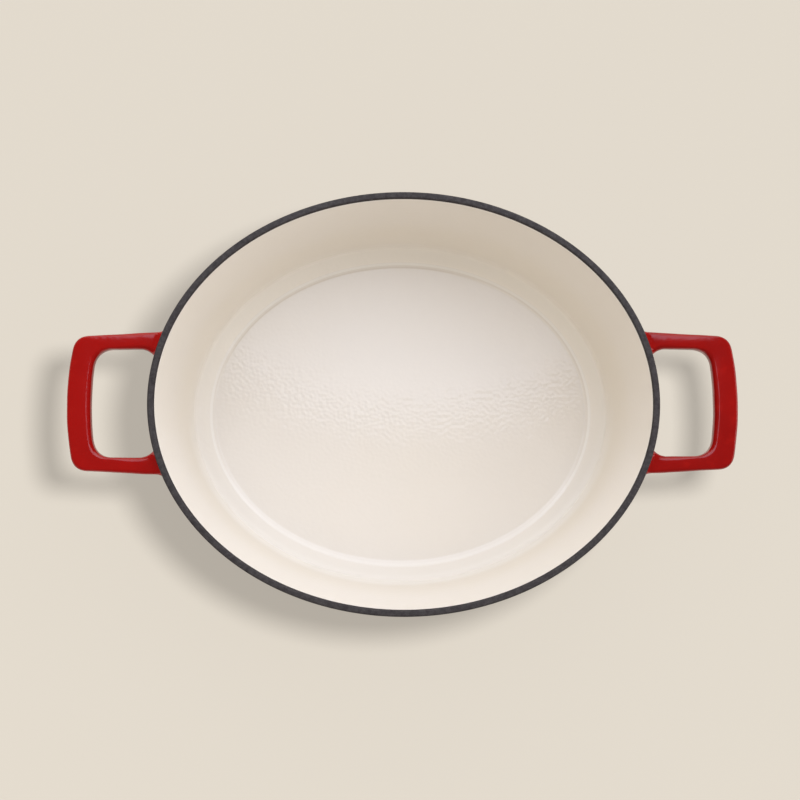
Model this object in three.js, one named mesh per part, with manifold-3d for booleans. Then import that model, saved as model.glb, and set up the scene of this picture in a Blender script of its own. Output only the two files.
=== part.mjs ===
// Oval casserole pot of enamelled cast iron, open at the top, with a cast loop handle at each end.
// Millimetres, +Z up. The origin lies on the table under the middle of the pot.
// +X runs along the pot to the right handle, +Y to its far side.
import * as THREE from 'three';
import { mergeVertices } from 'three/addons/utils/BufferGeometryUtils.js';
import Module from 'manifold-3d';

const wasm = await Module();
wasm.setup();

// Vessel, measured over its enamel
const RIM_LENGTH = 300;
const RIM_WIDTH = 249;
const HEIGHT = 110;
const WALL = 4;
const FLOOR = 5.8;
const DRAFT = THREE.MathUtils.degToRad(5.9);
const OUTER_CORNER = 14;
const RIM_ROUND = 1.2;

// Floor inside: a sloped ledge at the foot of the wall, and a small step from it down to the floor
const LEDGE_WIDTH = 8.8;
const LEDGE_SLOPE = THREE.MathUtils.degToRad(35);
const LEDGE_FILLET = 5;
const FLOOR_STEP = 1.5;
const FLOOR_STEP_RUN = 4;

// Standing ring under the pot, round a shallow recess
const FOOT_WIDTH = 14;
const FOOT_RECESS = 1.2;
const FOOT_SLOPE_RUN = 2;

// Enamel, and how far the dark coat of the rim reaches down both sides of the wall
const ENAMEL = 0.4;
const RIM_COAT_DROP = 2;

// Loop handles, in plan: a bowed grip on two legs that taper from the wall to the grip
const HANDLE_REACH = 48.6;
const GRIP_WIDTH = 14;
const GRIP_BOW = 4.3;
const HAND_GAP_BOW = 2.4;
const LOOP_WIDTH_AT_WALL = 85.3;
const LOOP_WIDTH_AT_GRIP = 79;
const LEG_WIDTH_AT_WALL = 10.7;
const LEG_WIDTH_AT_GRIP = 7.8;
const LOOP_CORNER = 8;
const HAND_GAP_CORNER = 11;

// Loop handles, from the side
const HANDLE_THICKNESS = 10;
const HANDLE_DROP = 8;
const HANDLE_TOP_ROUND = 2.6;
const HANDLE_UNDER_ROUND = 4;

// Roots of the legs: fillets in plan on both sides, and how much the section rises to the wall
const ROOT_FILLET_OUTSIDE = 6;
const ROOT_FILLET_INSIDE = 10;
const ROOT_RISE = 5.5;
const ROOT_RISE_RUN = 6.5;

// Clearance where a piece is cut to the shape of its neighbour
const SEAT_GAP = 0.1;

// Facets, and how much deeper than its coat a blank of enamel reaches before it is cut
const QUARTER_SEGMENTS = 18;
const CORNER_STEPS = 2;
const RIM_STEPS = 1;
const LOOP_CORNER_STEPS = 4;
const GRIP_STEPS = 4;
const FILLET_STEPS = 4;
const COAT_BLANK = 1.5;

// Closed solid of a geometry: shared vertices are merged and slivers without area are left out
function solidOf(geometry) {
  const bare = geometry.clone();
  bare.deleteAttribute('normal');
  bare.deleteAttribute('uv');
  const merged = mergeVertices(bare);
  const triVerts = [];
  for (let i = 0; i < merged.index.count; i += 3) {
    const corners = [merged.index.getX(i), merged.index.getX(i + 1), merged.index.getX(i + 2)];
    if (new Set(corners).size === 3) triVerts.push(...corners);
  }
  return new wasm.Manifold(new wasm.Mesh({
    numProp: 3,
    vertProperties: new Float32Array(merged.attributes.position.array),
    triVerts: new Uint32Array(triVerts),
  }));
}

function geometryOf(solid) {
  const mesh = solid.getMesh();
  const geometry = new THREE.BufferGeometry();
  geometry.setAttribute('position', new THREE.BufferAttribute(mesh.vertProperties, mesh.numProp));
  geometry.setIndex(new THREE.BufferAttribute(mesh.triVerts, 1));
  geometry.computeVertexNormals();
  return geometry;
}

// Vessel section along the long axis: x is the distance from the middle, y the height.
// Both walls lean out by the draft. The corner outside and the fillet inside are arcs tangent to them.
const rimRadius = RIM_LENGTH / 2;
const sideCut = (RIM_LENGTH - RIM_WIDTH) / 2;
const lean = Math.tan(DRAFT);
const slant = 1 / Math.cos(DRAFT);
const outerWall = (height) => rimRadius - (HEIGHT - height) * lean;
const innerWall = (height) => outerWall(height) - WALL;

const floorHeight = FOOT_RECESS + FLOOR;
const shoulderHeight = floorHeight + FLOOR_STEP;
const ledgeTop = shoulderHeight + LEDGE_WIDTH * Math.tan(LEDGE_SLOPE);
const ledgeEnd = innerWall(ledgeTop) - LEDGE_WIDTH;
const outerCornerRadius = outerWall(OUTER_CORNER) - OUTER_CORNER * slant;
const coatEdge = HEIGHT - RIM_COAT_DROP;

// The section's surface in four stretches, each lying a given depth under the finished surface.
// They run from the axis under the pot, out and up the outside, over the rim and down to the floor.
function footFace(depth) {
  const footInside = outerCornerRadius - FOOT_WIDTH;
  const path = new THREE.Path();
  path.moveTo(0, FOOT_RECESS + depth);
  path.lineTo(footInside - FOOT_SLOPE_RUN, FOOT_RECESS + depth);
  path.lineTo(footInside, depth);
  path.lineTo(outerCornerRadius, depth);
  return path.getPoints(1);
}

function wallFace(depth) {
  const path = new THREE.Path();
  path.absarc(outerCornerRadius, OUTER_CORNER, OUTER_CORNER - depth, -Math.PI / 2, -DRAFT, false);
  path.lineTo(outerWall(coatEdge) - depth * slant, coatEdge);
  return path.getPoints(CORNER_STEPS);
}

function rimFace(depth) {
  const roundHeight = HEIGHT - RIM_ROUND;
  const outerRound = outerWall(roundHeight) - RIM_ROUND * slant;
  const innerRound = innerWall(roundHeight) + RIM_ROUND * slant;
  const coatStart = new THREE.Vector2(outerWall(coatEdge) - depth * slant, coatEdge);
  const path = new THREE.Path();
  path.absarc(outerRound, roundHeight, RIM_ROUND - depth, -DRAFT, Math.PI / 2, false);
  path.absarc(innerRound, roundHeight, RIM_ROUND - depth, Math.PI / 2, Math.PI - DRAFT, false);
  path.lineTo(innerWall(coatEdge) + depth * slant, coatEdge);
  return [coatStart, ...path.getPoints(RIM_STEPS)];
}

// Middle of the fillet: up along the wall from its sharp foot to where the fillet starts, then square off it
function filletMiddle() {
  const upWall = new THREE.Vector2(Math.sin(DRAFT), Math.cos(DRAFT));
  const offWall = new THREE.Vector2(-upWall.y, upWall.x);
  const tangent = LEDGE_FILLET * Math.tan((Math.PI / 2 - DRAFT - LEDGE_SLOPE) / 2);
  const foot = new THREE.Vector2(innerWall(ledgeTop), ledgeTop);
  return foot.addScaledVector(upWall, tangent).addScaledVector(offWall, LEDGE_FILLET);
}

function cavityFace(depth) {
  const floor = floorHeight - depth;
  const fillet = filletMiddle();
  const coatStart = new THREE.Vector2(innerWall(coatEdge) + depth * slant, coatEdge);
  const path = new THREE.Path();
  path.absarc(fillet.x, fillet.y, LEDGE_FILLET + depth, -DRAFT, LEDGE_SLOPE - Math.PI / 2, true);
  path.lineTo(ledgeEnd, shoulderHeight - depth);
  path.lineTo(ledgeEnd - FLOOR_STEP_RUN, floor);
  path.lineTo(0, floor);
  return [coatStart, ...path.getPoints(CORNER_STEPS)];
}

// Turn a section about Z and squeeze the rings to ovals. Every ring loses the same amount across
// the pot, so that a wall is about equally thick all round.
function turnOval(section) {
  const outline = [...section, section[0]];
  const geometry = new THREE.LatheGeometry(outline, 4 * QUARTER_SEGMENTS).rotateX(Math.PI / 2);
  const position = geometry.attributes.position;
  for (let i = 0; i < position.count; i += 1) {
    const radius = Math.hypot(position.getX(i), position.getY(i));
    if (radius > 0) position.setY(i, position.getY(i) * (radius - sideCut) / radius);
  }
  return solidOf(geometry);
}

// The vessel's casting: foot, wall, rim and floor in one section
const potCasting = turnOval([footFace, wallFace, rimFace, cavityFace].flatMap((face) => face(ENAMEL)));

// A coat of enamel lies on one stretch of the casting, which cuts off what its blank has too much
function coatOf(face) {
  const blank = turnOval([...face(0), ...face(ENAMEL * COAT_BLANK).reverse()]);
  return blank.subtract(potCasting);
}

// The vessel's outside as a full block, to cut what stands against the wall
function vesselBlock(depth) {
  const top = new THREE.Vector2(0, HEIGHT - depth);
  const overRim = rimFace(depth).filter((point) => point.x > outerWall(HEIGHT) - WALL / 2);
  return turnOval([...footFace(depth), ...wallFace(depth), ...overRim, top]);
}

// Loop handle at the right end. Its outer and inner edges are drawn in plan and carry the section.
const gripEnd = rimRadius + HANDLE_REACH;
const loopMiddle = HEIGHT - HANDLE_DROP - HANDLE_THICKNESS / 2;
const rootRise = Math.min(ROOT_RISE, HANDLE_DROP - RIM_COAT_DROP);
const rootRun = Math.max(ROOT_FILLET_OUTSIDE, ROOT_FILLET_INSIDE, ROOT_RISE_RUN);
const rootBury = WALL + HANDLE_THICKNESS * lean + rootRun;

// Where the outside wall stands, at handle height, at a distance from the long axis
function wallAt(across) {
  const along = outerWall(loopMiddle);
  return along * Math.sqrt(1 - (across / (along - sideCut)) ** 2);
}

// One edge of the loop, from the wall round the grip to the wall: a leg, a rounded corner, the bowed
// grip, a corner and a leg. A corner is a quadratic curve whose control point is the sharp corner.
function loopEdge(apex, bowDepth, halfAtWall, halfAtGrip, corner) {
  const wall = new THREE.Vector2(wallAt(halfAtWall), halfAtWall);
  const sharp = new THREE.Vector2(apex - bowDepth, halfAtGrip);
  const share = corner / halfAtGrip;
  const bow = new THREE.Vector2((2 * apex - sharp.x * (1 - share)) / (1 + share), 0);
  const legEnd = wall.clone().sub(sharp).setLength(corner).add(sharp);
  const gripStart = sharp.clone().lerp(bow, share);
  const path = new THREE.Path();
  path.moveTo(wall.x, -wall.y);
  path.lineTo(legEnd.x, -legEnd.y);
  path.quadraticCurveTo(sharp.x, -sharp.y, gripStart.x, -gripStart.y);
  path.quadraticCurveTo(bow.x, bow.y, gripStart.x, gripStart.y);
  path.quadraticCurveTo(sharp.x, sharp.y, legEnd.x, legEnd.y);
  path.lineTo(wall.x, wall.y);
  return path;
}

const loopAtWall = LOOP_WIDTH_AT_WALL / 2;
const loopAtGrip = LOOP_WIDTH_AT_GRIP / 2;
const gapAtWall = loopAtWall - LEG_WIDTH_AT_WALL;
const gapAtGrip = loopAtGrip - LEG_WIDTH_AT_GRIP;
const gapEnd = gripEnd - GRIP_WIDTH;
const outerEdge = loopEdge(gripEnd, GRIP_BOW, loopAtWall, loopAtGrip, LOOP_CORNER);
const innerEdge = loopEdge(gapEnd, HAND_GAP_BOW, gapAtWall, gapAtGrip, HAND_GAP_CORNER);

// Stations along the loop, as distances from the wall on the legs and as steps on the curves.
// The fillets' stations lie closer together at the wall, and the first station is buried in it.
function loopStations() {
  const legDistances = [-rootBury];
  for (let step = 0; step <= FILLET_STEPS; step += 1) {
    legDistances.push(rootRun * (1 - Math.cos((step / FILLET_STEPS) * Math.PI / 2)));
  }
  const nearLeg = legDistances.map((distance) => ({ curve: 0, distance }));
  const farLeg = legDistances.map((distance) => ({ curve: 4, distance })).reverse();
  const curveSteps = [[1, LOOP_CORNER_STEPS], [2, GRIP_STEPS], [3, LOOP_CORNER_STEPS]];
  const round = curveSteps.flatMap(([curve, steps]) => (
    Array.from({ length: steps }, (none, step) => ({ curve, share: step / steps }))
  ));
  return [...nearLeg, ...round, { curve: 3, share: 1 }, ...farLeg];
}

// A point of an edge at a station: legs are straight, so a negative distance runs on into the wall
function edgePoint(edge, station) {
  const curve = edge.curves[station.curve];
  if (station.distance === undefined) return curve.getPoint(station.share);
  const [foot, end] = station.curve === 0 ? [curve.v1, curve.v2] : [curve.v2, curve.v1];
  return end.clone().sub(foot).setLength(station.distance).add(foot);
}

// How much the section has grown at a station, by a quarter oval that starts a run away from the wall
function rootGrowth(station, spread, run) {
  if (station.distance === undefined) return 0;
  const past = THREE.MathUtils.clamp(1 - station.distance / run, 0, 1);
  return spread * (1 - Math.sqrt(1 - past ** 2));
}

// Section of the loop: flat on top, with rounder edges underneath for the fingers
function loopSection(halfWidth, halfHeight, growth) {
  const top = Math.min(HANDLE_TOP_ROUND + growth, halfWidth, halfHeight);
  const under = Math.min(HANDLE_UNDER_ROUND + growth, halfWidth, halfHeight);
  const path = new THREE.Path();
  path.absarc(halfWidth - top, halfHeight - top, top, 0, Math.PI / 2, false);
  path.absarc(top - halfWidth, halfHeight - top, top, Math.PI / 2, Math.PI, false);
  path.absarc(under - halfWidth, under - halfHeight, under, Math.PI, Math.PI * 1.5, false);
  path.absarc(halfWidth - under, under - halfHeight, under, Math.PI * 1.5, Math.PI * 2, false);
  return path.getPoints(1);
}

// The loop as a closed form, lying a given depth under the finished surface
function loopForm(depth) {
  const rings = loopStations().map((station) => {
    const outer = edgePoint(outerEdge, station);
    const inner = edgePoint(innerEdge, station);
    const across = outer.clone().sub(inner).normalize();
    outer.addScaledVector(across, rootGrowth(station, ROOT_FILLET_OUTSIDE, ROOT_FILLET_OUTSIDE));
    inner.addScaledVector(across, -rootGrowth(station, ROOT_FILLET_INSIDE, ROOT_FILLET_INSIDE));
    const middle = outer.clone().add(inner).divideScalar(2);
    const rise = rootGrowth(station, rootRise, ROOT_RISE_RUN) - depth;
    const halfWidth = outer.distanceTo(inner) / 2 - depth;
    const halfHeight = HANDLE_THICKNESS / 2 + rise;
    return loopSection(halfWidth, halfHeight, rise).map((point) => new THREE.Vector3(
      middle.x + across.x * point.x,
      middle.y + across.y * point.x,
      loopMiddle + point.y,
    ));
  });
  return loft(rings);
}

// Skin a row of rings, and close both ends with a fan round the middle of the ring
function loft(rings) {
  const count = rings[0].length;
  const points = rings.flat();
  const index = [];
  for (let ring = 0; ring + 1 < rings.length; ring += 1) {
    for (let side = 0; side < count; side += 1) {
      const here = ring * count + side;
      const beside = ring * count + (side + 1) % count;
      index.push(here, here + count, beside, beside, here + count, beside + count);
    }
  }
  const lastRing = (rings.length - 1) * count;
  const ends = [rings[0], rings[rings.length - 1]];
  for (const ring of ends) {
    const middle = ring.reduce((sum, point) => sum.add(point), new THREE.Vector3());
    points.push(middle.divideScalar(count));
  }
  for (let side = 0; side < count; side += 1) {
    const next = (side + 1) % count;
    index.push(side, next, points.length - 2);
    index.push(lastRing + next, lastRing + side, points.length - 1);
  }
  return new THREE.BufferGeometry().setFromPoints(points).setIndex(index);
}

// Materials
const finish = (color, roughness, metalness) => (
  new THREE.MeshStandardMaterial({ color, roughness, metalness })
);
const castIron = () => finish(0x3c3b3a, 0.7, 0.7);
const redEnamel = () => finish(0xa0140f, 0.12, 0);
const creamEnamel = () => finish(0xe8dfd2, 0.18, 0);
const darkEnamel = () => finish(0x4a474a, 0.6, 0);

function piece(name, solid, material) {
  const mesh = new THREE.Mesh(geometryOf(solid), material);
  mesh.name = name;
  return mesh;
}

const pot = new THREE.Group();

// The vessel and its coats. The red coat of the wall leaves the handles' roots free.
pot.add(piece('pot_casting', potCasting, castIron()));
const rightRoot = solidOf(loopForm(ENAMEL - SEAT_GAP));
const leftRoot = solidOf(loopForm(ENAMEL - SEAT_GAP).rotateZ(Math.PI));
pot.add(piece('interior_enamel', coatOf(cavityFace), creamEnamel()));
pot.add(piece('rim_enamel', coatOf(rimFace), darkEnamel()));
pot.add(piece('base_enamel', coatOf(footFace), redEnamel()));
const wallCoat = coatOf(wallFace).subtract(rightRoot).subtract(leftRoot);
pot.add(piece('exterior_enamel', wallCoat, redEnamel()));

// Handles: the casting reaches the iron of the wall, its coat reaches the red coat of the wall
const loopCore = solidOf(loopForm(ENAMEL));
const handleCasting = loopCore.subtract(vesselBlock(ENAMEL - SEAT_GAP));
const handleCoat = solidOf(loopForm(0)).subtract(loopCore).subtract(vesselBlock(-SEAT_GAP));
for (const [side, turn] of [['right', 0], ['left', Math.PI]]) {
  const handle = new THREE.Group();
  handle.rotation.z = turn;
  handle.add(piece(`${side}_handle_casting`, handleCasting, castIron()));
  handle.add(piece(`${side}_handle_enamel`, handleCoat, redEnamel()));
  pot.add(handle);
}

export default pot;
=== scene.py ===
# %% [markdown]
# # An oval casserole pot in enamelled cast iron
# The real pot is one heavy iron casting with coats of enamel: cream inside, red outside, on the
# handles and under the base, and a matte dark grey along the rim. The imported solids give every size
# here. They are coarse, so this lesson draws the same forms again as fine surfaces and gives them
# their finish.

# %% Load the frame
import math

import bpy
import numpy as np
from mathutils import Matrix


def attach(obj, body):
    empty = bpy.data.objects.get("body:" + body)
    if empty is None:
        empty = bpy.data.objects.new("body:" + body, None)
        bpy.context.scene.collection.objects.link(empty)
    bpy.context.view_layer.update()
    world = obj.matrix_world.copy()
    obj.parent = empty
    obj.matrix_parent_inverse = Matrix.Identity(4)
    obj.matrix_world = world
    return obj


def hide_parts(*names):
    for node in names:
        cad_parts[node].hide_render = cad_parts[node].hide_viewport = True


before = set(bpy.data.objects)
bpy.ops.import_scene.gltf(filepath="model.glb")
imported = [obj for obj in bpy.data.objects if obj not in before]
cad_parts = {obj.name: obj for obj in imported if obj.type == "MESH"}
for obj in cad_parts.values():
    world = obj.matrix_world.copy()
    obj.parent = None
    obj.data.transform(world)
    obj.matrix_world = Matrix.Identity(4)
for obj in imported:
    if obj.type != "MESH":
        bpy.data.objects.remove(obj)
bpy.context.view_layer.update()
print("nodes:", sorted(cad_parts))

# %% [markdown]
# ## Sizes
# The sizes are those of the solids, in metres, with slopes in degrees. A maker of castings thinks in
# wall thickness, draft and corner radius, so these drive everything, and the other sizes follow from
# them.

# %% Sizes of the vessel
MM = 0.001
RIM_LENGTH = 300 * MM
RIM_WIDTH = 249 * MM
HEIGHT = 110 * MM
WALL = 4 * MM
FLOOR = 5.8 * MM
DRAFT = 5.9
OUTER_CORNER = 14 * MM
RIM_ROUND = 1.2 * MM
FLOOR_STEP = 1.5 * MM
FLOOR_STEP_RUN = 4 * MM
LEDGE_WIDTH = 8.8 * MM
LEDGE_SLOPE = 35
LEDGE_FILLET = 5 * MM
FOOT_WIDTH = 14 * MM
FOOT_RECESS = 1.2 * MM
FOOT_SLOPE_RUN = 2 * MM
ENAMEL = 0.4 * MM
RIM_COAT_DROP = 2 * MM

# The visible skin lies a hair inside the solids, so that the dressed pot never outgrows them
SKIN = 0.02 * MM

LEAN = math.tan(math.radians(DRAFT))
SLANT = 1 / math.cos(math.radians(DRAFT))
RIM_RADIUS = RIM_LENGTH / 2
SIDE_CUT = (RIM_LENGTH - RIM_WIDTH) / 2
FLOOR_HEIGHT = FOOT_RECESS + FLOOR
SHOULDER_HEIGHT = FLOOR_HEIGHT + FLOOR_STEP
COAT_EDGE = HEIGHT - RIM_COAT_DROP
print("cooking depth in mm:", round((HEIGHT - FLOOR_HEIGHT) / MM, 1))

# %% [markdown]
# ## Section of the vessel
# Cut along its middle, the vessel shows one section: a foot ring round a shallow recess, a rounded
# corner, a wall that leans out so that the casting leaves its mould, and a rounded rim. Inside, a
# sloped ledge lies at the foot of the wall, and a small step leads down to the floor. It could be
# drawn as a curve object, but here it is an array of points, so that the same section can be asked
# for at any depth under the surface.

# %% Section helpers
def outer_wall(height):
    """Half length of the outside: the rim's, less the drop below the rim times the lean."""
    return RIM_RADIUS - (HEIGHT - height) * LEAN


def inner_wall(height):
    """Half length of the inside: the outside's, less the wall."""
    return outer_wall(height) - WALL


def arc(middle, radius, start, end, steps):
    """Points of an arc: its middle plus the radius times the cosine and sine of even angles, which are
    given in degrees."""
    angle = np.radians(np.linspace(start, end, steps))
    return np.column_stack([middle[0] + radius * np.cos(angle), middle[1] + radius * np.sin(angle)])


def line(start, end, steps):
    """Even points on the straight way from start to end."""
    share = np.linspace(0, 1, steps)[:, None]
    return (1 - share) * np.array(start) + share * np.array(end)


def oval_rings(points):
    """Add the half width of each ring: its half length, less the same cut all round."""
    return np.column_stack([points[:, 0], points[:, 0] - SIDE_CUT, points[:, 1]])


def disc_rings(edge, steps):
    """Rings of a flat disc from its edge inwards: both half sizes of the edge times even shares."""
    share = np.linspace(1, 0, steps + 1)[1:-1, None]
    return np.hstack([share * edge[:2], np.full_like(share, edge[2])])


def rounded_ramp(way, window):
    """Way past a kink with the kink rounded off: nothing before it, the way itself after it, and within a
    window to both sides the parabola that joins them: the square of (way + window) over 4 windows."""
    inside = (np.clip(way, -window, window) + window) ** 2 / (4 * window)
    return inside + np.maximum(way - window, 0)


print("half length at the table in mm:", round(outer_wall(0) / MM, 1))

# %% Heights and steps of the section
STEP_ROUND = 0.5 * MM
FOOT_STEPS = 8
OUTER_CORNER_STEPS = 20
WALL_STEPS = 16
RIM_ROUND_STEPS = 10
RIM_SIDE_STEPS = 4
LEDGE_FILLET_STEPS = 16
LEDGE_STEPS = 40
FLOOR_RINGS = 10
FOOT_EDGE = outer_wall(OUTER_CORNER) - OUTER_CORNER * SLANT
LEDGE_RISE = math.tan(math.radians(LEDGE_SLOPE))
LEDGE_TOP = SHOULDER_HEIGHT + LEDGE_WIDTH * LEDGE_RISE
LEDGE_END = inner_wall(LEDGE_TOP) - LEDGE_WIDTH
FLOOR_END = LEDGE_END - FLOOR_STEP_RUN


def fillet_middle():
    """Middle of the fillet: from the sharp foot of the wall up along the wall, then square off it."""
    up = np.array([math.sin(math.radians(DRAFT)), math.cos(math.radians(DRAFT))])
    away = np.array([-up[1], up[0]])
    tangent = LEDGE_FILLET * math.tan(math.radians(90 - DRAFT - LEDGE_SLOPE) / 2)
    return np.array([inner_wall(LEDGE_TOP), LEDGE_TOP]) + tangent * up + LEDGE_FILLET * away


# %% Underside and outside wall
def foot_face(depth):
    """Underside from the middle outwards: the flat recess, its slope, and the ring that stands."""
    ring_start = FOOT_EDGE - FOOT_WIDTH
    slope_start = (ring_start - FOOT_SLOPE_RUN, FOOT_RECESS + depth)
    slope = line(slope_start, (ring_start, depth), FOOT_STEPS)
    ring = line((ring_start, depth), (FOOT_EDGE, depth), FOOT_STEPS)
    rings = oval_rings(np.vstack([slope, ring[1:]]))
    return np.vstack([disc_rings(rings[0], FLOOR_RINGS)[::-1], rings])


def wall_face(depth):
    """Outside from the foot to the dark coat: a corner arc, then the straight leaning wall."""
    corner = arc((FOOT_EDGE, OUTER_CORNER), OUTER_CORNER - depth, -90, -DRAFT, OUTER_CORNER_STEPS)
    wall = line(corner[-1], (outer_wall(COAT_EDGE) - depth * SLANT, COAT_EDGE), WALL_STEPS)
    return oval_rings(np.vstack([corner, wall[1:]]))


# %% Rim
def rim_face(depth):
    """Dark coat from outside to inside: up the wall, a round edge, the flat land, a round edge, down."""
    round_height = HEIGHT - RIM_ROUND
    outer_middle = (outer_wall(round_height) - RIM_ROUND * SLANT, round_height)
    inner_middle = (inner_wall(round_height) + RIM_ROUND * SLANT, round_height)
    outer_round = arc(outer_middle, RIM_ROUND - depth, -DRAFT, 90, RIM_ROUND_STEPS)
    inner_round = arc(inner_middle, RIM_ROUND - depth, 90, 180 - DRAFT, RIM_ROUND_STEPS)
    start = (outer_wall(COAT_EDGE) - depth * SLANT, COAT_EDGE)
    end = (inner_wall(COAT_EDGE) + depth * SLANT, COAT_EDGE)
    rise = line(start, outer_round[0], RIM_SIDE_STEPS)
    land = line(outer_round[-1], inner_round[0], RIM_SIDE_STEPS)
    fall = line(inner_round[-1], end, RIM_SIDE_STEPS)
    return oval_rings(np.vstack([rise[:-1], outer_round, land[1:-1], inner_round, fall[1:]]))


# %% Inside
def cavity_face(depth):
    """Inside from the dark coat to the middle: the wall, a fillet, the ledge, the step and the floor.
    Ledge and step are the floor's height, plus the slope of the step past the floor's end, plus what the
    ledge is steeper past the end of the step. At a depth both ends move out, by the growth in the length
    of the slope over the growth in its rise, so that every slope lies square under its own surface."""
    start = (inner_wall(COAT_EDGE) + depth * SLANT, COAT_EDGE)
    fillet = arc(fillet_middle(), LEDGE_FILLET + depth, -DRAFT, LEDGE_SLOPE - 90, LEDGE_FILLET_STEPS)
    wall = line(start, fillet[0], WALL_STEPS)
    out = np.linspace(fillet[-1, 0], FLOOR_END - STEP_ROUND, LEDGE_STEPS)
    step_rise = FLOOR_STEP / FLOOR_STEP_RUN
    more_rise = LEDGE_RISE - step_rise
    step_slant = math.hypot(1, step_rise)
    ledge_slant = math.hypot(1, LEDGE_RISE)
    floor_end = FLOOR_END + depth * (step_slant - 1) / step_rise
    ledge_end = LEDGE_END + depth * (ledge_slant - step_slant) / more_rise
    height = FLOOR_HEIGHT - depth + step_rise * rounded_ramp(out - floor_end, STEP_ROUND)
    height = height + more_rise * rounded_ramp(out - ledge_end, STEP_ROUND)
    foot = np.column_stack([out, height])
    rings = oval_rings(np.vstack([wall[:-1], fillet, foot[1:]]))
    return np.vstack([rings, disc_rings(rings[-1], FLOOR_RINGS)])


print("floor half length in mm:", round(FLOOR_END / MM, 1))

# %% [markdown]
# ## From sections to meshes
# Spinning a section makes a round pot. This one is oval, so each point of the section travels round
# an oval of its own. The points form a grid, and one function turns any such grid into a closed mesh
# with its faces outwards. It prints the volume, which comes out negative if a mesh is inside out.

# %% Oval turning and skinning
TURN_STEPS = 480
SHARP_ANGLE = 35
CUBIC_CM = 1e-6


def turn_oval(rings):
    """Each ring is x = half length times cosine, y = half width times sine, z = its height."""
    turn = np.linspace(0, 2 * np.pi, TURN_STEPS, endpoint=False)
    x = rings[:, 0, None] * np.cos(turn)
    y = rings[:, 1, None] * np.sin(turn)
    z = np.broadcast_to(rings[:, 2, None], x.shape)
    return np.stack([x, y, z], axis=-1)


def skin(name, grid, poles=None):
    """Mesh of a grid: every ring closes on itself, and the rings close in a loop or end in two poles."""
    number = np.arange(grid.shape[0] * grid.shape[1]).reshape(grid.shape[:2])
    here, there = number, np.roll(number, -1, axis=0)
    points = grid.reshape(-1, 3)
    fans = np.empty((0, 3), int)
    if poles is not None:
        here, there = number[:-1], number[1:]
        first, last = number[0], number[-1]
        first_fan = np.column_stack([np.roll(first, -1), first, np.full_like(first, len(points))])
        last_fan = np.column_stack([last, np.roll(last, -1), np.full_like(last, len(points) + 1)])
        fans = np.vstack([first_fan, last_fan])
        points = np.vstack([points, poles])
    corners = [here, np.roll(here, -1, axis=1), np.roll(there, -1, axis=1), there]
    quads = np.stack(corners, axis=-1).reshape(-1, 4)
    mesh = bpy.data.meshes.new(name)
    mesh.from_pydata(points, [], quads.tolist() + fans.tolist())
    mesh.polygons.foreach_set("use_smooth", np.ones(len(mesh.polygons), bool))
    mesh.set_sharp_from_angle(angle=math.radians(SHARP_ANGLE))
    mesh.update()
    triangles = np.vstack([quads[:, [0, 1, 2]], quads[:, [0, 2, 3]], fans])
    a, b, c = points[triangles].transpose(1, 0, 2)
    volume = np.einsum("ij,ij->i", a, np.cross(b, c)).sum() / 6
    print(name, "triangles:", len(triangles), "volume in cm3:", round(volume / CUBIC_CM, 2))
    piece = bpy.data.objects.new(name, mesh)
    bpy.context.scene.collection.objects.link(piece)
    return piece


def pole(height):
    """The point on the pot's axis at a height."""
    return [0, 0, height]


# %% [markdown]
# ## Vessel pieces
# Each coat is a thin closed shell: its outer face, then its back face in reverse. The casting under
# them is the whole section at the depth of the enamel. Keeping the iron as a piece of its own means
# that a chipped pot could be made later by cutting away some enamel.

# %% Casting and coats of the vessel
pieces = {}


def vessel_casting():
    """The section all round at the depth of the enamel, from the axis below to the axis on the floor."""
    faces = [foot_face, wall_face, rim_face, cavity_face]
    rings = np.vstack([face(ENAMEL) for face in faces])
    poles = [pole(FOOT_RECESS + ENAMEL), pole(FLOOR_HEIGHT - ENAMEL)]
    return skin("vessel_casting", turn_oval(rings), poles)


def band_coat(name, face):
    """Coat that goes round the pot like a band: the face, then its back in reverse, closed in a loop."""
    return skin(name, turn_oval(np.vstack([face(SKIN), face(ENAMEL)[::-1]])))


pieces["pot_casting"] = vessel_casting()
pieces["exterior_enamel"] = band_coat("outside_coat", wall_face)
pieces["rim_enamel"] = band_coat("rim_coat", rim_face)

inside_rings = np.vstack([cavity_face(ENAMEL)[::-1], cavity_face(SKIN)])
inside_poles = [pole(FLOOR_HEIGHT - ENAMEL), pole(FLOOR_HEIGHT - SKIN)]
pieces["interior_enamel"] = skin("inside_coat", turn_oval(inside_rings), inside_poles)

base_rings = np.vstack([foot_face(SKIN), foot_face(ENAMEL)[::-1]])
base_poles = [pole(FOOT_RECESS + SKIN), pole(FOOT_RECESS + ENAMEL)]
pieces["base_enamel"] = skin("base_coat", turn_oval(base_rings), base_poles)

# %% [markdown]
# ## Loop handles
# A handle is a bowed grip on two legs. In plan it lies between two edges, and the section, flat on
# top and rounder below for the fingers, is carried round between them. A curve with a bevel would
# keep one width, but the legs taper, so the section is worked out anew at every station.

# %% Sizes of the handles
HANDLE_REACH = 48.6 * MM
GRIP_WIDTH = 14 * MM
GRIP_BOW = 4.3 * MM
HAND_GAP_BOW = 2.4 * MM
LOOP_WIDTH_AT_WALL = 85.3 * MM
LOOP_WIDTH_AT_GRIP = 79 * MM
LEG_WIDTH_AT_WALL = 10.7 * MM
LEG_WIDTH_AT_GRIP = 7.8 * MM
LOOP_CORNER = 8 * MM
HAND_GAP_CORNER = 11 * MM
HANDLE_THICKNESS = 10 * MM
HANDLE_DROP = 8 * MM
HANDLE_TOP_ROUND = 2.6 * MM
HANDLE_UNDER_ROUND = 4 * MM
ROOT_RISE = 5.5 * MM
ROOT_RISE_RUN = 6.5 * MM
ROOT_FILLET_OUTSIDE = 6 * MM
ROOT_FILLET_INSIDE = 10 * MM
ROOT_BURY = 0.3 * MM

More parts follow.
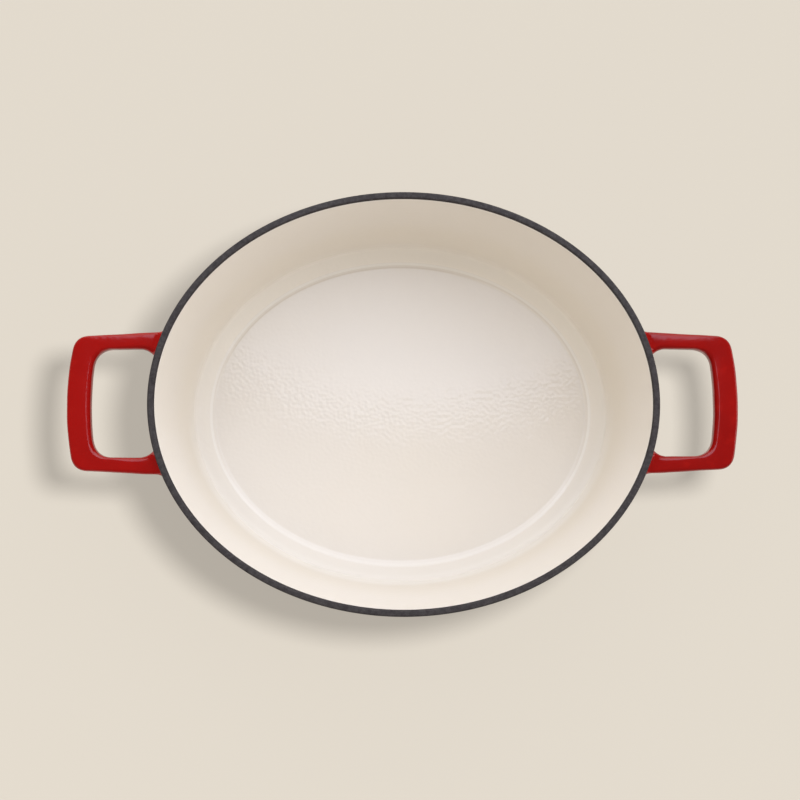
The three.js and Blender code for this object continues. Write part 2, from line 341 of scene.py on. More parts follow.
GRIP_END = RIM_RADIUS + HANDLE_REACH
LOOP_MIDDLE = HEIGHT - HANDLE_DROP - HANDLE_THICKNESS / 2
print("middle of the handles above the table in mm:", round(LOOP_MIDDLE / MM, 1))

# %% Edges of a handle in plan
FILLET_STEPS = 14
LEG_STEPS = 30
CORNER_STEPS = 24
GRIP_STEPS = 60


def bezier(start, control, end, share):
    """Quadratic curve: the three points weighted by (1-t) squared, 2t(1-t) and t squared."""
    share = share[:, None]
    return (1 - share) ** 2 * start + 2 * share * (1 - share) * control + share ** 2 * end


def loop_edge(apex, bow_depth, half_at_wall, half_at_grip, corner):
    """One edge from the wall round the grip to the wall: leg, corner, bowed grip, corner and leg."""
    along = outer_wall(LOOP_MIDDLE)
    foot_along = along * math.sqrt(1 - (half_at_wall / (along - SIDE_CUT)) ** 2)
    foot = np.array([foot_along, -half_at_wall])
    sharp = np.array([apex - bow_depth, -half_at_grip])
    share = corner / half_at_grip
    bow = np.array([(2 * apex - sharp[0] * (1 - share)) / (1 + share), 0])
    leg_length = np.linalg.norm(sharp - foot)
    leg_way = (sharp - foot) / leg_length
    leg_end = sharp - corner * leg_way
    grip_start = sharp + share * (bow - sharp)
    fillet = ROOT_FILLET_INSIDE * (1 - np.cos(np.linspace(0, np.pi / 2, FILLET_STEPS)))
    straight = np.linspace(ROOT_FILLET_INSIDE, leg_length - corner, LEG_STEPS)
    leg = foot + np.concatenate([fillet, straight[1:]])[:, None] * leg_way
    turn = bezier(leg_end, sharp, grip_start, np.linspace(0, 1, CORNER_STEPS))
    grip = bezier(grip_start, bow, grip_start * [1, -1], np.linspace(0, 1, GRIP_STEPS))
    half = np.vstack([leg, turn[1:]])
    return np.vstack([half, grip[1:-1], half[::-1] * [1, -1]])


LOOP_AT_WALL = LOOP_WIDTH_AT_WALL / 2
LOOP_AT_GRIP = LOOP_WIDTH_AT_GRIP / 2
GAP_AT_WALL = LOOP_AT_WALL - LEG_WIDTH_AT_WALL
GAP_AT_GRIP = LOOP_AT_GRIP - LEG_WIDTH_AT_GRIP
outer_edge = loop_edge(GRIP_END, GRIP_BOW, LOOP_AT_WALL, LOOP_AT_GRIP, LOOP_CORNER)
inner_edge = loop_edge(GRIP_END - GRIP_WIDTH, HAND_GAP_BOW, GAP_AT_WALL, GAP_AT_GRIP, HAND_GAP_CORNER)
print("stations along a handle:", len(outer_edge))

# %% [markdown]
# The legs meet the wall in fillets. Near the wall both edges spread by a quarter circle and the section
# grows taller by a quarter oval. The wall leans and curves, so the last rings are slid back along the leg
# until no point of the root stands off the wall, and the ends lie a hair inside it. The enamel of the
# handle then runs into that of the wall as it does on the casting. A hand-dressed casting is never quite
# even, so both edges also wander by about a tenth of a millimetre.

# %% Waves and roots of a handle
ROUND_STEPS = 9
EDGE_WANDER = 0.08 * MM
LONG_WAVE = 31 * MM
SHORT_WAVE = 17 * MM
LONG_WAVE_SHARE = 0.6
SHORT_WAVE_SHARE = 0.4


def way_along(edge):
    """Way from the start of an edge to each of its points."""
    steps = np.linalg.norm(np.diff(edge, axis=0), axis=1)
    return np.concatenate([[0], np.cumsum(steps)])


def wander(edge, phase):
    """Small waves along an edge: two sines of the way along it, which cut in by up to twice the wander."""
    way = way_along(edge)
    long_wave = np.sin(2 * np.pi * way / LONG_WAVE + phase)
    short_wave = np.sin(2 * np.pi * way / SHORT_WAVE + 2 * phase)
    return EDGE_WANDER * (1 + LONG_WAVE_SHARE * long_wave + SHORT_WAVE_SHARE * short_wave)


def root_growth(edge, spread, run):
    """Quarter oval at both ends of an edge: the spread at the wall, nothing at a distance of the run."""
    way = way_along(edge)
    past = np.clip(1 - np.minimum(way, way[-1] - way) / run, 0, 1)
    return spread * (1 - np.sqrt(1 - past ** 2))


# %% Rounded section, and its way to the wall
def rounded_section(half_width, half_height, growth):
    """Rounded rectangle, clockwise: four arcs, each its own middle plus its radius times the cosine and
    sine of a quarter turn."""
    limit = np.minimum(half_width, half_height)
    top = np.minimum(HANDLE_TOP_ROUND + growth, limit)[:, None]
    under = np.minimum(HANDLE_UNDER_ROUND + growth, limit)[:, None]
    width = half_width[:, None]
    height = half_height[:, None]
    corners = [(1, 1, top, 90), (1, -1, under, 0), (-1, -1, under, -90), (-1, 1, top, -180)]
    across = []
    up = []
    for side, level, radius, start in corners:
        angle = np.radians(np.linspace(start, start - 90, ROUND_STEPS))
        across.append(side * (width - radius) + radius * np.cos(angle))
        up.append(level * (height - radius) + radius * np.sin(angle))
    return np.hstack(across), np.hstack(up)


def onto_wall(points, way):
    """How far along its leg each point lies from the wall's oval, by the quadratic formula."""
    along = outer_wall(points[..., 2])
    across = along - SIDE_CUT
    x, y = points[..., 0], points[..., 1]
    square = (way[0] / along) ** 2 + (way[1] / across) ** 2
    mixed = x * way[0] / along ** 2 + y * way[1] / across ** 2
    rest = (x / along) ** 2 + (y / across) ** 2 - 1
    return (np.sqrt(mixed ** 2 - square * rest) - mixed) / square


# %% Rings of a handle
INNER_EDGE_PHASE = 2
SLIDE_RUN = 2 * ROOT_FILLET_OUTSIDE


def loop_rings(depth, phase):
    """Rings of the loop: the middle of both edges, plus the section across it and up."""
    edge_way = outer_edge - inner_edge
    edge_way = edge_way / np.linalg.norm(edge_way, axis=1)[:, None]
    outside = root_growth(outer_edge, ROOT_FILLET_OUTSIDE, ROOT_FILLET_OUTSIDE)
    inside = root_growth(inner_edge, ROOT_FILLET_INSIDE, ROOT_FILLET_INSIDE)
    outer = outer_edge + (outside - wander(outer_edge, phase))[:, None] * edge_way
    inner = inner_edge - (inside - wander(inner_edge, phase + INNER_EDGE_PHASE))[:, None] * edge_way
    rise = root_growth(outer_edge, ROOT_RISE, ROOT_RISE_RUN) - depth
    middle = (outer + inner) / 2
    half_width = np.linalg.norm(outer - inner, axis=1) / 2 - depth
    across, up = rounded_section(half_width, HANDLE_THICKNESS / 2 + rise, rise)
    plan = middle[:, None, :] + across[:, :, None] * edge_way[:, None, :]
    return set_on_wall(np.dstack([plan, LOOP_MIDDLE + up]))


def set_on_wall(rings):
    """Slide the rings near each root back along the leg, the last one until it lies inside the wall and
    the others less and less, by an S-shaped fade over the slide's run."""
    half = len(rings) // 2
    for root, beside, stations in ((0, 1, slice(0, half)), (-1, -2, slice(half, None))):
        way = rings[beside].mean(axis=0) - rings[root].mean(axis=0)
        way = way * [1, 1, 0] / np.linalg.norm(way[:2])
        slide = np.minimum(onto_wall(rings[root], way) - ROOT_BURY, 0)
        distance = np.linalg.norm((rings[stations] - rings[root]).mean(axis=1), axis=1)
        near = np.clip(1 - distance / SLIDE_RUN, 0, 1)
        fade = near ** 2 * (3 - 2 * near)
        rings[stations] += fade[:, None, None] * slide[None, :, None] * way
    return rings


def loop_casting(name, turn, phase):
    """Iron of a handle: its rings at the depth of the enamel, closed at both roots by a pole."""
    rings = loop_rings(ENAMEL, phase) * turn
    return skin(name, rings, [rings[0].mean(axis=0), rings[-1].mean(axis=0)])


def loop_coat(name, turn, phase):
    """Coat of a handle: its rings, then the rings of its back in reverse, closed in a loop."""
    rings = np.vstack([loop_rings(SKIN, phase), loop_rings(ENAMEL, phase)[::-1]])
    return skin(name, rings * turn)


# Each handle: which way it is turned about the pot's axis, and where its small waves start
HANDLES = {"right": ([1, 1, 1], 0.4), "left": ([-1, -1, 1], 2.1)}
for end, (turn, phase) in HANDLES.items():
    pieces[f"{end}_handle_casting"] = loop_casting(f"{end}_loop_casting", turn, phase)
    pieces[f"{end}_handle_enamel"] = loop_coat(f"{end}_loop_coat", turn, phase)

# %% [markdown]
# ## Shader maths
# A finish is a small calculation that is done for every point of a surface. Node trees hide it, so a
# wrapper lets it be written as plain arithmetic: each sum or product of values adds a Math node.

# %% Values of a node tree
class Value:
    """A socket of a node tree. Arithmetic on values adds the Math nodes that work it out."""

    def __init__(self, tree, socket=None):
        self.tree = tree
        self.socket = socket

    def make(self, kind, settings=None, inputs=None, output=0):
        """Add any node by its type, its settings, and what its sockets get: numbers, colours or values."""
        node = self.tree.nodes.new(kind)
        for name, setting in (settings or {}).items():
            setattr(node, name, setting)
        for key, given in (inputs or {}).items():
            if isinstance(given, Value):
                self.tree.links.new(given.socket, node.inputs[key])
            else:
                node.inputs[key].default_value = given
        return Value(self.tree, node.outputs[output] if node.outputs else None)

    def math(self, operation, first, second):
        """Add a Math node on two numbers or values."""
        return self.make("ShaderNodeMath", {"operation": operation}, {0: first, 1: second})

    def __add__(self, other):
        return self.math("ADD", self, other)

    def __radd__(self, other):
        return self.math("ADD", other, self)

    def __sub__(self, other):
        return self.math("SUBTRACT", self, other)

    def __rsub__(self, other):
        return self.math("SUBTRACT", other, self)

    def __mul__(self, other):
        return self.math("MULTIPLY", self, other)

    def __rmul__(self, other):
        return self.math("MULTIPLY", other, self)

    def __truediv__(self, other):
        return self.math("DIVIDE", self, other)

    def ease(self, low, high):
        """Smooth step: nothing at low, one at high, and an S-shaped rise between them."""
        settings = {"interpolation_type": "SMOOTHSTEP"}
        return self.make("ShaderNodeMapRange", settings, {"Value": self, 1: low, 2: high})

    def between(self, rise_start, rise_end, fall_start, fall_end):
        """Smooth band: nothing, a rise to one, a fall back to nothing."""
        return self.ease(rise_start, rise_end) * (1 - self.ease(fall_start, fall_end))

    def mix(self, first, second):
        """Colour on the way from the first to the second. This value is the second one's share."""
        return self.make("ShaderNodeMix", {"data_type": "RGBA"}, {0: self, 6: first, 7: second}, 2)

    def noise(self, scale, detail=2.0):
        """Cloudy pattern from nothing to one on these coordinates, with scale features to the metre."""
        inputs = {"Vector": self, "Scale": scale, "Detail": detail}
        return self.make("ShaderNodeTexNoise", {}, inputs)

    def least(self, other):
        """The smaller of this value and another."""
        return self.math("MINIMUM", self, other)

    def tint(self, colour):
        """A colour times this value, part by part."""
        parts = {name: part * self for name, part in zip(("Red", "Green", "Blue"), colour)}
        return self.make("ShaderNodeCombineColor", {}, parts)

    def bump(self, distance):
        """Normal of a surface that this value raises by up to a distance in metres."""
        return self.make("ShaderNodeBump", {}, {"Distance": distance, "Height": self})


# %% Starting and closing a finish
def new_finish(name):
    """A bare material, with the piece's own coordinates to paint by."""
    material = bpy.data.materials.new(name)
    material.use_nodes = True
    material.node_tree.nodes.clear()
    place = Value(material.node_tree).make("ShaderNodeTexCoord", output="Object")
    return material, place


def axes_of(place):
    """The x, y and z of a place as three values."""
    split = place.make("ShaderNodeSeparateXYZ", {}, {0: place})
    return [Value(place.tree, socket) for socket in split.socket.node.outputs]


def close_finish(material, place, inputs):
    """Feed the shader and the material's output."""
    shader = place.make("ShaderNodeBsdfPrincipled", {}, inputs)
    place.make("ShaderNodeOutputMaterial", {}, {"Surface": shader})
    print(material.name, "nodes:", len(place.tree.nodes))
    return material


# %% [markdown]
# ## Cream enamel
# Enamel is glass that is fired on the iron. It draws together as it melts, which leaves a faint ripple
# like orange peel, two or three millimetres from crest to crest. The ripple is too low to see as a shape
# but breaks up reflections, so it is a bump. It fades on the wall, where the coat ran smooth. The cream
# is a little darker and creamier down the wall. The ledge is painted paler towards the far side: painted
# light. A painted highlight runs along the crest of the step to the floor, and painted light lies on the
# fillet at the near side. In the crease at the step's foot, painted shade runs along the far side and a
# painted highlight lies at the sides of the floor. The ledge is less glossy than the rest. All this could
# be painted by hand on an image, but bands by height and fades across the pot stay sharp from any
# distance.

# %% Finish of the inside
CREAM = (0.885, 0.843, 0.785, 1)
CREAM_LOW_WALL = (0.875, 0.820, 0.728, 1)
# Painted light: a paler cream on the ledge towards the far side
CREAM_LEDGE_LIGHT = (0.965, 0.920, 0.845, 1)
# Painted highlight on the crest of the step, also used for painted light on the near fillet and at the
# sides of the crease
CREAM_HIGHLIGHT = (0.970, 0.940, 0.890, 1)
# Painted shade in the crease at the floor's far edge
CREAM_CREASE_SHADE = (0.770, 0.715, 0.640, 1)
CREAM_THIN = (0.90, 0.865, 0.835, 1)

# Bands by height: where each one starts to show, is full, starts to fade and is gone
LOW_WALL_BAND = (LEDGE_TOP, LEDGE_TOP + 12 * MM, 40 * MM, 75 * MM)
LEDGE_BAND = (SHOULDER_HEIGHT - 0.3 * MM, SHOULDER_HEIGHT, LEDGE_TOP - 1 * MM, LEDGE_TOP + 8 * MM)
# Painted light on the fillet above the ledge, shown at the near side
FILLET_LIGHT_BAND = (LEDGE_TOP - 4 * MM, LEDGE_TOP + 2 * MM, LEDGE_TOP + 6 * MM, LEDGE_TOP + 22 * MM)
THIN_EDGE = (COAT_EDGE - 3 * MM, COAT_EDGE)

# The same for the two painted lines at the floor's edge, the highlight on the crest and the shade and
# highlight in the crease, by height above the floor
CREST_HIGHLIGHT_BAND = (0.6 * MM, 0.8 * MM, 1.2 * MM, 1.5 * MM)
CREASE_BAND = (-0.01 * MM, 0.1 * MM, 0.2 * MM, 0.45 * MM)

# Fades from the near side of the pot to its far side, by the place across it
LEDGE_LIGHT_FADE = (-70 * MM, 50 * MM)
FILLET_LIGHT_FADE = (-80 * MM, 40 * MM)
CREST_HIGHLIGHT_FADE = (-80 * MM, -20 * MM)
CREASE_FADE = (0, 30 * MM)

# The painted shade along the crease lies a little round to the left, so its fade leans by a share of the
# place along the pot
CREASE_SHADE_FADE = (60 * MM, 90 * MM)
CREASE_SHADE_LEAN = 0.35

# Strengths, and patterns in features to the metre
LOW_WALL_SHARE = 0.6
CLOUD_SHARE = 0.2
CLOUD_SCALE = 14
CLOUD_RANGE = (0.35, 0.75)
CREST_HIGHLIGHT_NEAR_SHARE = 0.25
CREASE_SHARE = 0.6
PEEL_SCALE = 430
PEEL_HEIGHT = 0.080 * MM
PEEL_LOST_ON_WALL = 0.75
CREAM_ROUGHNESS = 0.02
CREAM_ROUGHNESS_SCALE = 90
LEDGE_DULLER = 0.25


# %% Coat of the inside
def cream_enamel():
    """Cream, mixed in turn with a darker tone down the wall, painted light on the far ledge, painted
    highlights on the crest and the near fillet, painted shade and highlight in the crease, and the thin
    edge under the rim."""
    material, place = new_finish("cream_enamel")
    x, y, height = axes_of(place)
    above_floor = height - FLOOR_HEIGHT
    ledge = height.between(*LEDGE_BAND)
    crest_highlight = above_floor.between(*CREST_HIGHLIGHT_BAND)
    crease = above_floor.between(*CREASE_BAND)
    # Painted light on the fillet, which fades out towards the far side
    fillet = height.between(*FILLET_LIGHT_BAND)
    # A darker, creamier tone down the wall
    run = LOW_WALL_SHARE * height.between(*LOW_WALL_BAND)
    clouds = CLOUD_SHARE * place.noise(CLOUD_SCALE).ease(*CLOUD_RANGE)
    colour = (run + clouds).mix(CREAM, CREAM_LOW_WALL)
    # Painted light on the ledge, fading in towards the far side
    colour = (ledge * y.ease(*LEDGE_LIGHT_FADE)).mix(colour, CREAM_LEDGE_LIGHT)
    # Painted highlight along the crest, weaker at the near side, plus painted light on the near fillet
    crest_highlight_share = CREST_HIGHLIGHT_NEAR_SHARE + (1 - CREST_HIGHLIGHT_NEAR_SHARE) * y.ease(*CREST_HIGHLIGHT_FADE)
    painted_light = crest_highlight * crest_highlight_share + fillet * (1 - y.ease(*FILLET_LIGHT_FADE))
    colour = painted_light.mix(colour, CREAM_HIGHLIGHT)
    # Painted shade in the crease on the far side, painted highlight at its sides
    crease_shade_and_highlight = (y - CREASE_SHADE_LEAN * x).ease(*CREASE_SHADE_FADE).mix(CREAM_HIGHLIGHT, CREAM_CREASE_SHADE)
    colour = (CREASE_SHARE * crease * y.ease(*CREASE_FADE)).mix(colour, crease_shade_and_highlight)
    colour = height.ease(*THIN_EDGE).mix(colour, CREAM_THIN)
    smooth = PEEL_LOST_ON_WALL * height.ease(SHOULDER_HEIGHT, LEDGE_TOP)
    peel = (place.noise(PEEL_SCALE, 0.0) - 0.5) * (1 - smooth)
    clouded = CREAM_ROUGHNESS * (1 + place.noise(CREAM_ROUGHNESS_SCALE))
    inputs = {
        "Base Color": colour,
        "Roughness": clouded + LEDGE_DULLER * ledge,
        "IOR": 1.5,
        "Normal": peel.bump(PEEL_HEIGHT),
    }
    return close_finish(material, place, inputs)


# %% [markdown]
# ## Red enamel
# The red coat is a little less glossy. It is a touch darker where it pooled and in a broken line under
# the rim's coat, and brighter where it ran thin. Towards the right end it is darker as well: painted
# shade. A wider ripple shows in its reflections. Under the base, the ring that the pot stands on gets
# scuffed, so there the finish is duller and paler in broken patches. One function makes both, because
# they are the same glass.

# %% Finish of the outside
RED = (0.368, 0.0045, 0.0035, 1)
RED_POOLED_AND_SHADE = (0.25, 0.003, 0.0025, 1)
RED_THIN = (0.40, 0.007, 0.0045, 1)
RED_SCUFFED = (0.30, 0.045, 0.035, 1)

POOL_SCALE = 45
POOL_RANGE = (0.4, 0.75)
POOL_SHARE = 0.3
# Painted shade: the red darkens towards the right end
RIGHT_END_SHADE_FADE = (-200 * MM, 200 * MM)
RIGHT_END_SHADE_SHARE = 0.45
THIN_SCALE = 160
THIN_RANGE = (0.5, 0.8)
THIN_SHARE = 0.5
LIP_FADE = (COAT_EDGE - 1.2 * MM, COAT_EDGE)
LIP_RANGE = (0.2, 0.6)
LIP_SHARE = 0.6
RED_ROUGHNESS = 0.09
RED_ROUGHNESS_SPREAD = 0.05
RED_ROUGHNESS_SCALE = 120
SCUFF_FADE = (0.1 * MM, 0.5 * MM)
SCUFF_SCALE = 380
SCUFF_DETAIL = 6.0
SCUFF_RANGE = (0.45, 0.7)
SCUFF_SHARE = 0.7
SCUFF_DULLER = 0.4
WIDE_RIPPLE_SCALE = 170
WIDE_RIPPLE_DETAIL = 1.5
FINE_RIPPLE_SCALE = 520
FINE_RIPPLE_DETAIL = 1.0
FINE_RIPPLE_SHARE = 0.2
RED_RIPPLE_HEIGHT = 0.07 * MM


# %% Coat of the outside
def red_enamel(name, scuffed):
    """Red, with pools, painted shade to the right, the thin tone, the lip under the rim, and scuffs if
    asked.
    """
    material, place = new_finish(name)
    x, _, height = axes_of(place)
    fine_clouds = place.noise(THIN_SCALE)
    pools = POOL_SHARE * place.noise(POOL_SCALE).ease(*POOL_RANGE)
    # Pools, plus painted shade towards the right end
    pools_and_shade = pools + RIGHT_END_SHADE_SHARE * x.ease(*RIGHT_END_SHADE_FADE)
    thin = THIN_SHARE * fine_clouds.ease(*THIN_RANGE)
    lip = LIP_SHARE * height.ease(*LIP_FADE) * fine_clouds.ease(*LIP_RANGE)
    colour = thin.mix(pools_and_shade.mix(RED, RED_POOLED_AND_SHADE), RED_THIN)
    colour = lip.mix(colour, RED_POOLED_AND_SHADE)
    roughness = RED_ROUGHNESS + RED_ROUGHNESS_SPREAD * place.noise(RED_ROUGHNESS_SCALE)
    if scuffed:
        ring = 1 - height.ease(*SCUFF_FADE)
        worn = ring * place.noise(SCUFF_SCALE, SCUFF_DETAIL).ease(*SCUFF_RANGE)
        colour = (SCUFF_SHARE * worn).mix(colour, RED_SCUFFED)
        roughness = roughness + SCUFF_DULLER * worn
    wide_ripple = place.noise(WIDE_RIPPLE_SCALE, WIDE_RIPPLE_DETAIL)
    fine_ripple = place.noise(FINE_RIPPLE_SCALE, FINE_RIPPLE_DETAIL)
    ripple = wide_ripple + FINE_RIPPLE_SHARE * fine_ripple
    inputs = {
        "Base Color": colour,
        "Roughness": roughness,
        "IOR": 1.52,
        "Normal": ripple.bump(RED_RIPPLE_HEIGHT),
    }
    return close_finish(material, place, inputs)


# %% [markdown]
# ## Dark rim
# The rim carries a thin matte coat that lids can rub on. It is dark grey, mottled darker in soft spots,
# with fine light grains that also roughen it, and painted shade darkens its rounded sides.

# %% Finish of the rim
RIM_GREY = (0.056, 0.050, 0.053, 1)
RIM_GRAIN = (0.104, 0.096, 0.100, 1)
RIM_DARK_AND_SHADE = (0.023, 0.019, 0.022, 1)

GRAIN_SCALE = 1500
GRAIN_DETAIL = 3.0
GRAIN_RANGE = (0.5, 0.75)
GRAIN_SHARE = 0.75
GRAIN_HEIGHT = 0.05 * MM
PATCH_SCALE = 260
PATCH_RANGE = (0.45, 0.8)
PATCH_SHARE = 0.35
MOTTLE_SCALE = 420
MOTTLE_DETAIL = 1.0
MOTTLE_RANGE = (0.4, 0.6)
MOTTLE_SHARE = 0.4
# Painted shade down the rounded sides of the rim
RIM_SIDE_SHADE_FADE = (HEIGHT - 1.0 * MM, HEIGHT - 0.1 * MM)
RIM_SIDE_SHADE_SHARE = 0.85
RIM_ROUGHNESS = 0.62
RIM_ROUGHNESS_SPREAD = 0.2


def rim_enamel():
    """Grey, mixed with the grains, then with the dark tone in patches and a mottle, and painted shade down
    the sides.
    """
    material, place = new_finish("dark_rim_enamel")
    height = axes_of(place)[2]
    grains = place.noise(GRAIN_SCALE, GRAIN_DETAIL)
    patches = place.noise(PATCH_SCALE)
    mottle = MOTTLE_SHARE * place.noise(MOTTLE_SCALE, MOTTLE_DETAIL).ease(*MOTTLE_RANGE)
    # Painted shade down the rounded sides
    shaded_sides = RIM_SIDE_SHADE_SHARE * (1 - height.ease(*RIM_SIDE_SHADE_FADE))
    colour = (GRAIN_SHARE * grains.ease(*GRAIN_RANGE)).mix(RIM_GREY, RIM_GRAIN)
    colour = (PATCH_SHARE * patches.ease(*PATCH_RANGE) + mottle).mix(colour, RIM_DARK_AND_SHADE)
    colour = shaded_sides.mix(colour, RIM_DARK_AND_SHADE)
    inputs = {
        "Base Color": colour,
        "Roughness": RIM_ROUGHNESS + RIM_ROUGHNESS_SPREAD * patches,
        "IOR": 1.45,
        "Normal": grains.bump(GRAIN_HEIGHT),
    }
    return close_finish(material, place, inputs)


# %% [markdown]
# ## Cast iron
# The iron itself is hidden, but it is there: dark grey, rough from the sand of its mould.

# %% Finish of the casting
IRON = (0.05, 0.049, 0.047, 1)
IRON_PALE = (0.105, 0.10, 0.095, 1)

SAND_SCALE = 1100
SAND_DETAIL = 4.0
SAND_RANGE = (0.45, 0.75)
SAND_SHARE = 0.6
SAND_HEIGHT = 0.12 * MM
STAIN_SCALE = 60
STAIN_RANGE = (0.4, 0.8)
STAIN_SHARE = 0.3
IRON_ROUGHNESS = 0.6
IRON_ROUGHNESS_SPREAD = 0.25


def cast_iron():
    """Dark grey, mixed with a paler grey on the grains of sand and in wide stains."""
    material, place = new_finish("cast_iron")
    sand = place.noise(SAND_SCALE, SAND_DETAIL)
    stains = STAIN_SHARE * place.noise(STAIN_SCALE).ease(*STAIN_RANGE)
    colour = (SAND_SHARE * sand.ease(*SAND_RANGE) + stains).mix(IRON, IRON_PALE)
    inputs = {
        "Base Color": colour,
        "Metallic": 0.7,
        "Roughness": IRON_ROUGHNESS + IRON_ROUGHNESS_SPREAD * sand,
        "Normal": sand.bump(SAND_HEIGHT),
    }
    return close_finish(material, place, inputs)


# %% [markdown]
# ## Dressing the pot
# Every fine piece stands for one solid, rides on the same body and takes one finish. Nothing of the
# coarse solids shows any more, but they still carry the pot's weight and its collisions.

# %% Finishes and bodies
iron = cast_iron()
red = red_enamel("red_enamel", False)
finishes = {
    "pot_casting": (iron, "cast_iron"),
    "right_handle_casting": (iron, "cast_iron"),
    "left_handle_casting": (iron, "cast_iron"),
    "interior_enamel": (cream_enamel(), "cream_enamel"),
    "exterior_enamel": (red, "red_enamel"),
    "base_enamel": (red_enamel("red_base_enamel", True), "red_enamel"),
    "rim_enamel": (rim_enamel(), "dark_enamel"),
    "right_handle_enamel": (red, "red_enamel"),
    "left_handle_enamel": (red, "red_enamel"),
}
for node, piece in pieces.items():
    material, slot = finishes[node]
    piece.data.materials.append(material)
    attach(piece, "root")
    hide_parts(node)
print("fine pieces:", len(pieces))

# %% [markdown]
# ## Table
# In the photo the table is one flat tone, and the pot's shadow lies on it with nearly even depth, as
# if it had been laid in by hand. So the table glows by itself, and a lamp that lights nothing but the
# table gives the rest of its tone and draws the shadow, which is a little deeper to the right. That
# lamp hangs close, so its light thins out sideways, by the fourth power of how much longer its way is
# than straight down. The table's colour grows by the same up to a limit, and the glow fills the rest.

# %% Table
TABLE_HALF = 3.0
TABLE_DROP = 0.2 * MM
TABLE_TONE = (0.767, 0.708, 0.617)

# Share of the table's tone that the shadow lamp gives and its shadow takes, and more to the right
SHADOW_DEPTH = 0.37
SHADOW_DEEPER = 0.05
DEEPER_FADE = (50 * MM, 200 * MM)

# The shadow lamp. Its light is many times the plain level, so that other light counts for little
SHADOW_LIGHT = 5.0
SHADOW_LAMP_PLACE = (0.130, 0.038, 0.800)
SHADOW_LAMP_HALF_SIZES = (0.070, 0.065)
MOST_GROWTH = 2.2

# Other light on the table: its level at the near left, and its gain to the right and the far side
TABLE_SEEN = 0.35
OTHER_LIGHT = 0.75
OTHER_LIGHT_RIGHT = 0.10
OTHER_LIGHT_FAR = 0.38


def table_finish():
    """Colour that evens out the lamp, and a glow that fills up to the table's tone."""
    material, place = new_finish("pale_table")
    x, y = axes_of(place)[:2]
    lamp_x, lamp_y, lamp_height = SHADOW_LAMP_PLACE
    sideways = (x - lamp_x) * (x - lamp_x) + (y - lamp_y) * (y - lamp_y)
    longer = 1 + sideways * (1 / lamp_height ** 2)
    growth = longer * longer
    evened = growth.least(MOST_GROWTH)
    depth = SHADOW_DEPTH + SHADOW_DEEPER * x.ease(*DEEPER_FADE)
    lit = evened * depth * (1 / SHADOW_LIGHT)
    rightwards = x.ease(-TABLE_SEEN, TABLE_SEEN)
    farwards = y.ease(-TABLE_SEEN, TABLE_SEEN)
    other_light = OTHER_LIGHT + OTHER_LIGHT_RIGHT * rightwards + OTHER_LIGHT_FAR * farwards
    glow = 1 - depth * evened / growth - lit * other_light
    inputs = {
        "Base Color": lit.tint(TABLE_TONE),
        "Roughness": 0.9,
        "Specular IOR Level": 0.0,
        "Emission Color": glow.tint(TABLE_TONE),
        "Emission Strength": 1.0,
    }
    return close_finish(material, place, inputs)


table_mesh = bpy.data.meshes.new("table")
table_corners = TABLE_HALF * np.array([(-1, -1), (1, -1), (1, 1), (-1, 1)])
table_points = np.column_stack([table_corners, np.full(len(table_corners), -TABLE_DROP)])
table_mesh.from_pydata(table_points, [], [(0, 1, 2, 3)])
table = bpy.data.objects.new("table", table_mesh)
table_group = bpy.data.collections.new("table_alone")
bpy.context.scene.collection.children.link(table_group)
table_group.objects.link(table)
table_mesh.materials.append(table_finish())

# %% [markdown]
# ## Light
# The pot is lit as in a small studio. About half of its light comes softly from all round. A large
# cool softbox hangs over the far side and shows as a sheen on the floor of the pot and on the far edges
# of the handles. A wide panel stands further back, a fill to the right, a weaker warm one to the left,
# and a low strip at the right end. Each is given by its share of a plain level of light on the table, at
# which a colour looks as it is written. The shadow lamp comes last and is linked to the table alone.

# %% Lamps
POT_MIDDLE = (0, 0, 0.06)
COOL_WHITE = (0.90, 1.0, 1.25)
PLAIN_WHITE = (1, 1, 1)
WARM_WHITE = (1.2, 1.0, 0.55)


def lamp(name, place, aim, half_sizes, share, colour, shown):
    """Oval lamp aimed at a point. Its power is its share times pi squared times the distance squared,
    divided by the sine of its height above the horizon."""
    way = np.array(aim) - np.array(place)
    distance = np.linalg.norm(way)
    flat = math.hypot(way[0], way[1])
    light = bpy.data.lights.new(name, "AREA")
    light.shape = "ELLIPSE"
    light.size, light.size_y = [2 * half for half in half_sizes]
    light.color = colour
    light.energy = share * math.pi ** 2 * distance ** 3 / -way[2]
    holder = bpy.data.objects.new(name, light)
    bpy.context.scene.collection.objects.link(holder)
    holder.location = place
    holder.rotation_euler = (math.atan2(flat, -way[2]), 0, math.atan2(-way[0], way[1]))
    holder.visible_glossy = shown
    holder.visible_camera = False
    return holder


# Each lamp: its place, its half sizes, its share of the light, its colour, and whether gloss mirrors it
LAMPS = {
    "far_softbox": ((0.040, 0.500, 1.120), (0.5, 0.475), 0.265, COOL_WHITE, True),
    "far_panel": ((0.000, 1.150, 0.700), (0.85, 0.55), 0.18, PLAIN_WHITE, True),
    "right_fill": ((1.100, 0.100, 0.900), (0.4, 0.4), 0.10, PLAIN_WHITE, False),
    "left_fill": ((-1.100, 0.100, 0.900), (0.4, 0.4), 0.025, WARM_WHITE, False),
    "right_strip": ((1.400, 0.000, 0.250), (0.5, 0.18), 0.012, PLAIN_WHITE, True),
}
for name, (place, half_sizes, share, colour, shown) in LAMPS.items():
    lamp(name, place, POT_MIDDLE, half_sizes, share, colour, shown)

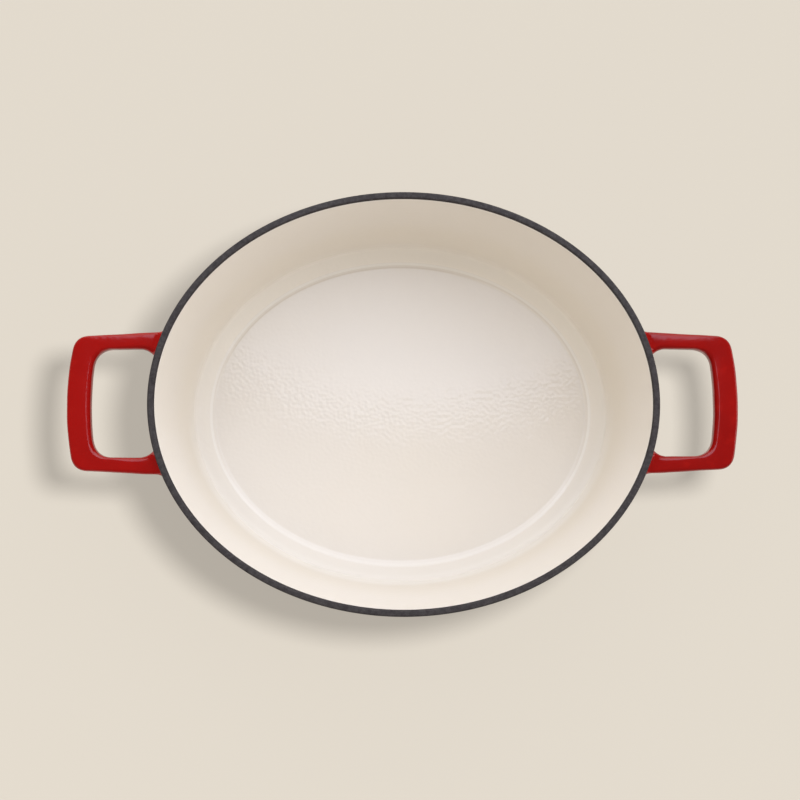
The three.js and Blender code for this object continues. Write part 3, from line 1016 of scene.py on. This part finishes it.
under_lamp = (*SHADOW_LAMP_PLACE[:2], 0)
shadow_lamp = lamp(
    "shadow_lamp", SHADOW_LAMP_PLACE, under_lamp, SHADOW_LAMP_HALF_SIZES, SHADOW_LIGHT, PLAIN_WHITE, False
)
shadow_lamp.light_linking.receiver_collection = table_group
print("lamps:", *LAMPS, shadow_lamp.name)

# %% [markdown]
# The light from all round is the world's. Glossy enamel would mirror it as a grey veil, where the
# photo shows deep reds, because the studio's ceiling is dark. So reflections see a dim world.

# %% World
WORLD_COLOUR = (1.0, 0.913, 0.805, 1)
WORLD_LIGHT = 0.59
WORLD_MIRRORED = 0.08

world = bpy.data.worlds.new("studio")
bpy.context.scene.world = world
world.use_nodes = True
world.node_tree.nodes.clear()
mirrored = Value(world.node_tree).make("ShaderNodeLightPath", output="Is Glossy Ray")
strength = WORLD_LIGHT - (WORLD_LIGHT - WORLD_MIRRORED) * mirrored
sky = mirrored.make("ShaderNodeBackground", {}, {"Color": WORLD_COLOUR, "Strength": strength})
sky.make("ShaderNodeOutputWorld", {}, {"Surface": sky})
print("world:", world.name)

# %% [markdown]
# ## Camera
# The camera hangs 70 cm above the rim, a little to the left and to the near side of the middle, and
# leans back to it. Its place comes from how the rim, the floor and the handles lie in the picture.

# %% Camera
CAMERA_PLACE = (-18.29 * MM, -52.45 * MM, 810 * MM)
CAMERA_TILT = (4.358, -1.264, -0.065)
CAMERA_LENS = 54.21
CAMERA_SENSOR = 36

camera_data = bpy.data.cameras.new("camera")
camera_data.lens = CAMERA_LENS
camera_data.sensor_width = CAMERA_SENSOR
camera = bpy.data.objects.new("camera", camera_data)
bpy.context.scene.collection.objects.link(camera)
camera.location = CAMERA_PLACE
camera.rotation_mode = "ZYX"
camera.rotation_euler = [math.radians(angle) for angle in CAMERA_TILT]
bpy.context.scene.camera = camera
bpy.context.scene.view_settings.view_transform = "Standard"
print("camera above the rim in mm:", round((CAMERA_PLACE[2] - HEIGHT) / MM))

# %% Finish
bpy.context.view_layer.update()
